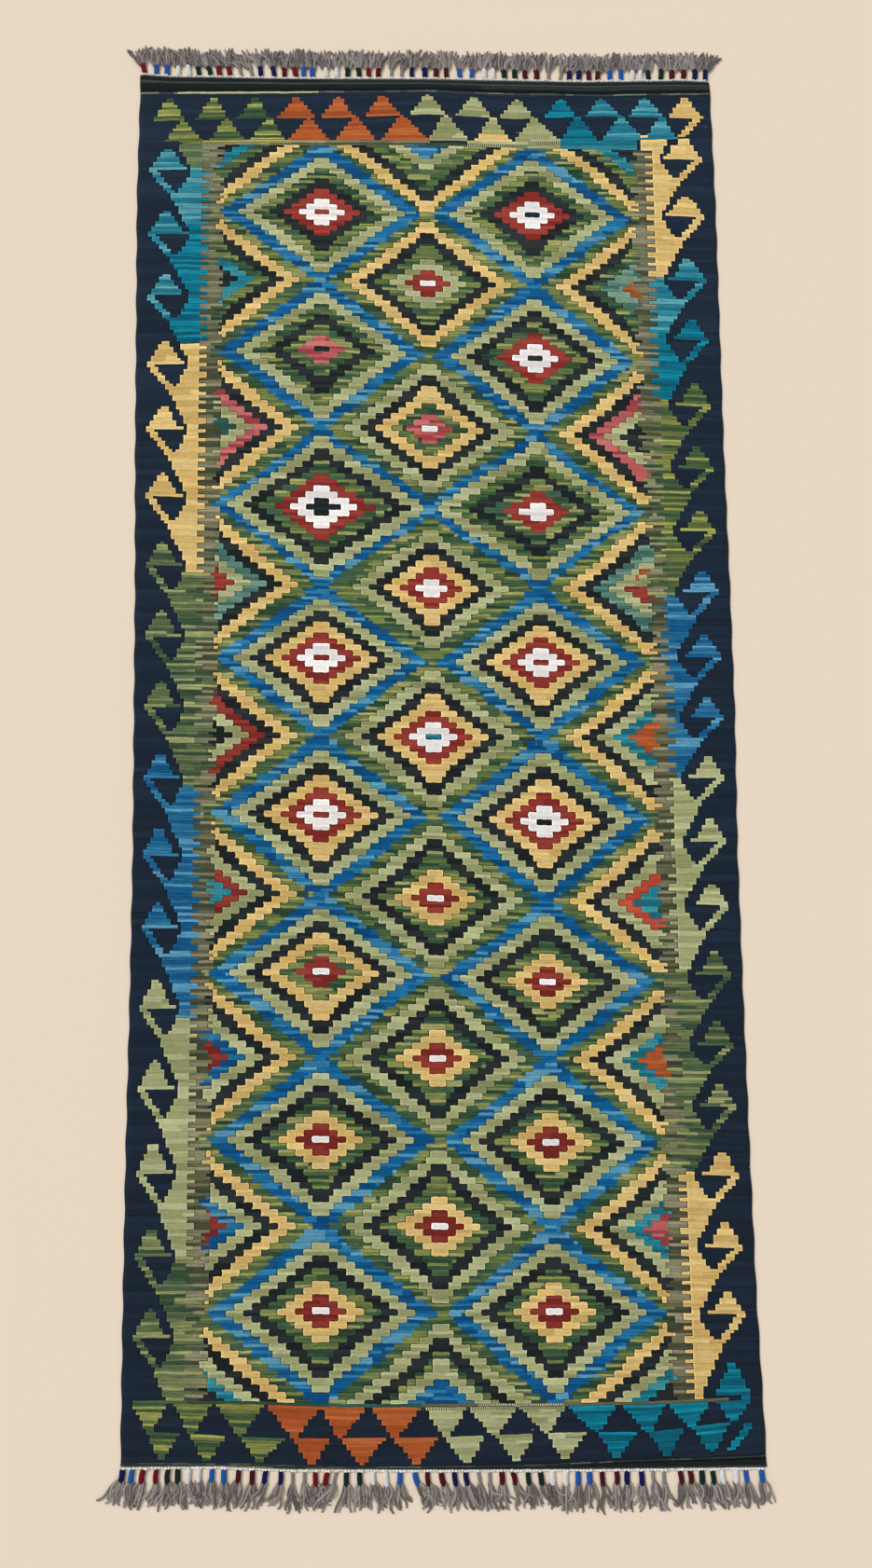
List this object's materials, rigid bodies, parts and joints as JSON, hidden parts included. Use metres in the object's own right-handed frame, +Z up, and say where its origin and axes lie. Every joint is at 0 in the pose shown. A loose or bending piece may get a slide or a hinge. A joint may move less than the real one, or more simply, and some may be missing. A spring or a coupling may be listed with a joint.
{
  "type": "afghan kilim rug",
  "caption": "Flat-woven runner rug lying flat, with knotted ends and short thread-wrapped tassels along both ends.",
  "frame": {"origin": "middle of the whole rug with its fringes, on the floor plane under it", "axes": "+Y along the length towards the far end, +X across the width to the right, +Z up out of the patterned face"},
  "size_m": [0.9088, 2.13, 0.0045],
  "materials": {
    "woven_wool": "matte flat-woven wool, dyed navy, blue, greens, yellow, red and white",
    "knot_cotton": "matte white cotton cord",
    "fringe_wool": "matte undyed grey plied yarn with coloured thread wraps"
  },
  "bodies": {
    "root": {"kilim_cloth": "woven_wool", "far_knot_row": "knot_cotton", "near_knot_row": "knot_cotton", "far_fringe": "fringe_wool", "near_fringe": "fringe_wool"}
  },
  "joints": []
}
